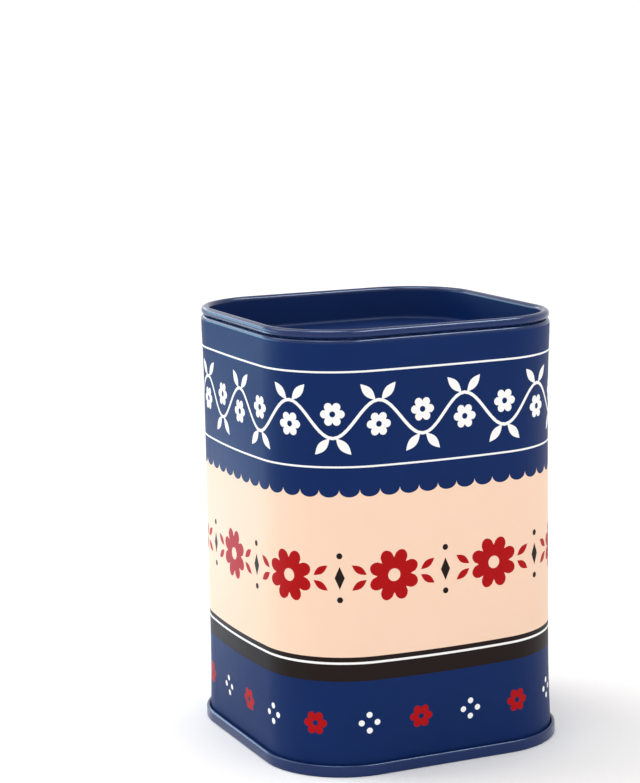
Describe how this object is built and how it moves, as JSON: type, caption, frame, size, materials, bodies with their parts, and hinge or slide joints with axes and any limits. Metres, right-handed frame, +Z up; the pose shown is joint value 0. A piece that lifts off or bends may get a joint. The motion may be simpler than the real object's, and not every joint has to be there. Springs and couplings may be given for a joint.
{
  "type": "tin money box",
  "caption": "Rounded-square tinplate money box with a printed wall, a double-seamed base and a recessed lift-off plug lid with a coin slot.",
  "frame": {"origin": "middle of the base, at the surface that the base seam stands on", "axes": "+Z up, -Y out of the printed front, +X to the right of someone who looks at the front"},
  "size_m": [0.0758, 0.0758, 0.105],
  "materials": {
    "printed_tinplate": "lithographed tinplate under a satin-gloss varnish, bare tin inside",
    "base_enamel": "blue enamelled tinplate",
    "lid_enamel": "blue enamelled tinplate"
  },
  "bodies": {
    "tin": {"body_shell": "printed_tinplate", "base_end": "base_enamel"},
    "lid": {"lid": "lid_enamel"}
  },
  "joints": [
    {"name": "lid_lift", "type": "slide", "parent": "tin", "child": "lid", "axis": [0, 0, 1], "range_m": [0, 0.04]}
  ]
}
